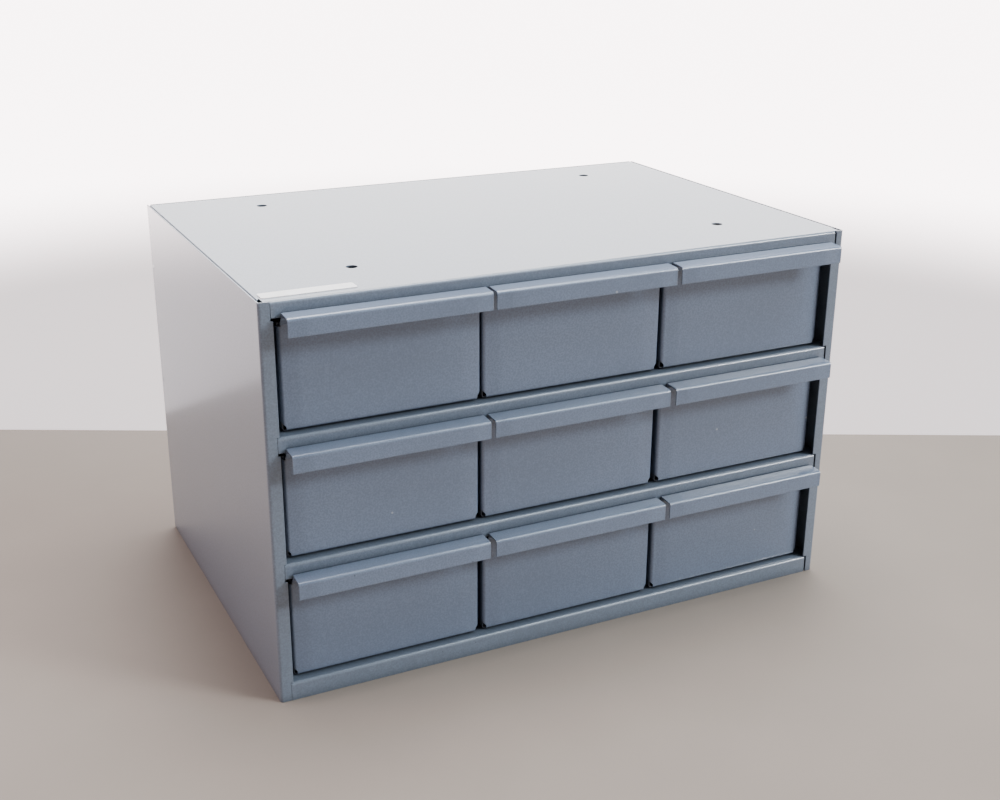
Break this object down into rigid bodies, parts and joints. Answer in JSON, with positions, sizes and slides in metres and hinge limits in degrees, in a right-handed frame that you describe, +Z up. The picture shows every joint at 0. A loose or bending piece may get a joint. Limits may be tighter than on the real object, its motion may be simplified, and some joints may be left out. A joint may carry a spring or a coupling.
{
  "type": "small parts organizer cabinet",
  "caption": "Low sheet-steel cabinet with rows of shallow pull-out drawers, each with a full-width hooded pull, for sorting small parts.",
  "frame": {"origin": "centre of the base of the whole object's box, with the drawers closed", "axes": "+X to the cabinet's right, -Y out of the drawer fronts, +Z up"},
  "size_m": [0.4388, 0.3094, 0.2766],
  "materials": {
    "cabinet_enamel": "satin grey baked enamel",
    "drawer_front_enamel": "satin blue-grey baked enamel",
    "drawer_tray_enamel": "satin blue-grey baked enamel",
    "divider_enamel": "satin blue-grey baked enamel",
    "guide_enamel": "satin grey baked enamel",
    "label_paper": "matt white paper"
  },
  "bodies": {
    "cabinet": {"side_panel_left": "cabinet_enamel", "side_panel_right": "cabinet_enamel", "top_panel": "cabinet_enamel", "shelf_upper": "cabinet_enamel", "shelf_lower": "cabinet_enamel", "bottom_panel": "cabinet_enamel", "back_panel": "cabinet_enamel", "paper_label": "label_paper", "drawer_guide_r1g1": "guide_enamel", "drawer_guide_r1g2": "guide_enamel", "drawer_guide_r1g3": "guide_enamel", "drawer_guide_r1g4": "guide_enamel", "drawer_guide_r2g1": "guide_enamel", "drawer_guide_r2g2": "guide_enamel", "drawer_guide_r2g3": "guide_enamel", "drawer_guide_r2g4": "guide_enamel", "drawer_guide_r3g1": "guide_enamel", "drawer_guide_r3g2": "guide_enamel", "drawer_guide_r3g3": "guide_enamel", "drawer_guide_r3g4": "guide_enamel"},
    "drawer_r1c1": {"drawer_tray_r1c1": "drawer_tray_enamel", "drawer_front_r1c1": "drawer_front_enamel", "drawer_back_r1c1": "drawer_tray_enamel", "divider_r1c1": "divider_enamel"},
    "drawer_r1c2": {"drawer_tray_r1c2": "drawer_tray_enamel", "drawer_front_r1c2": "drawer_front_enamel", "drawer_back_r1c2": "drawer_tray_enamel", "divider_r1c2": "divider_enamel"},
    "drawer_r1c3": {"drawer_tray_r1c3": "drawer_tray_enamel", "drawer_front_r1c3": "drawer_front_enamel", "drawer_back_r1c3": "drawer_tray_enamel", "divider_r1c3": "divider_enamel"},
    "drawer_r2c1": {"drawer_tray_r2c1": "drawer_tray_enamel", "drawer_front_r2c1": "drawer_front_enamel", "drawer_back_r2c1": "drawer_tray_enamel", "divider_r2c1": "divider_enamel"},
    "drawer_r2c2": {"drawer_tray_r2c2": "drawer_tray_enamel", "drawer_front_r2c2": "drawer_front_enamel", "drawer_back_r2c2": "drawer_tray_enamel", "divider_r2c2": "divider_enamel"},
    "drawer_r2c3": {"drawer_tray_r2c3": "drawer_tray_enamel", "drawer_front_r2c3": "drawer_front_enamel", "drawer_back_r2c3": "drawer_tray_enamel", "divider_r2c3": "divider_enamel"},
    "drawer_r3c1": {"drawer_tray_r3c1": "drawer_tray_enamel", "drawer_front_r3c1": "drawer_front_enamel", "drawer_back_r3c1": "drawer_tray_enamel", "divider_r3c1": "divider_enamel"},
    "drawer_r3c2": {"drawer_tray_r3c2": "drawer_tray_enamel", "drawer_front_r3c2": "drawer_front_enamel", "drawer_back_r3c2": "drawer_tray_enamel", "divider_r3c2": "divider_enamel"},
    "drawer_r3c3": {"drawer_tray_r3c3": "drawer_tray_enamel", "drawer_front_r3c3": "drawer_front_enamel", "drawer_back_r3c3": "drawer_tray_enamel", "divider_r3c3": "divider_enamel"}
  },
  "joints": [
    {"name": "drawer_r1c1_slide", "type": "slide", "parent": "cabinet", "child": "drawer_r1c1", "axis": [0, -1, 0], "range_m": [0, 0.236]},
    {"name": "drawer_r1c2_slide", "type": "slide", "parent": "cabinet", "child": "drawer_r1c2", "axis": [0, -1, 0], "range_m": [0, 0.236]},
    {"name": "drawer_r1c3_slide", "type": "slide", "parent": "cabinet", "child": "drawer_r1c3", "axis": [0, -1, 0], "range_m": [0, 0.236]},
    {"name": "drawer_r2c1_slide", "type": "slide", "parent": "cabinet", "child": "drawer_r2c1", "axis": [0, -1, 0], "range_m": [0, 0.236]},
    {"name": "drawer_r2c2_slide", "type": "slide", "parent": "cabinet", "child": "drawer_r2c2", "axis": [0, -1, 0], "range_m": [0, 0.236]},
    {"name": "drawer_r2c3_slide", "type": "slide", "parent": "cabinet", "child": "drawer_r2c3", "axis": [0, -1, 0], "range_m": [0, 0.236]},
    {"name": "drawer_r3c1_slide", "type": "slide", "parent": "cabinet", "child": "drawer_r3c1", "axis": [0, -1, 0], "range_m": [0, 0.236]},
    {"name": "drawer_r3c2_slide", "type": "slide", "parent": "cabinet", "child": "drawer_r3c2", "axis": [0, -1, 0], "range_m": [0, 0.236]},
    {"name": "drawer_r3c3_slide", "type": "slide", "parent": "cabinet", "child": "drawer_r3c3", "axis": [0, -1, 0], "range_m": [0, 0.236]}
  ]
}
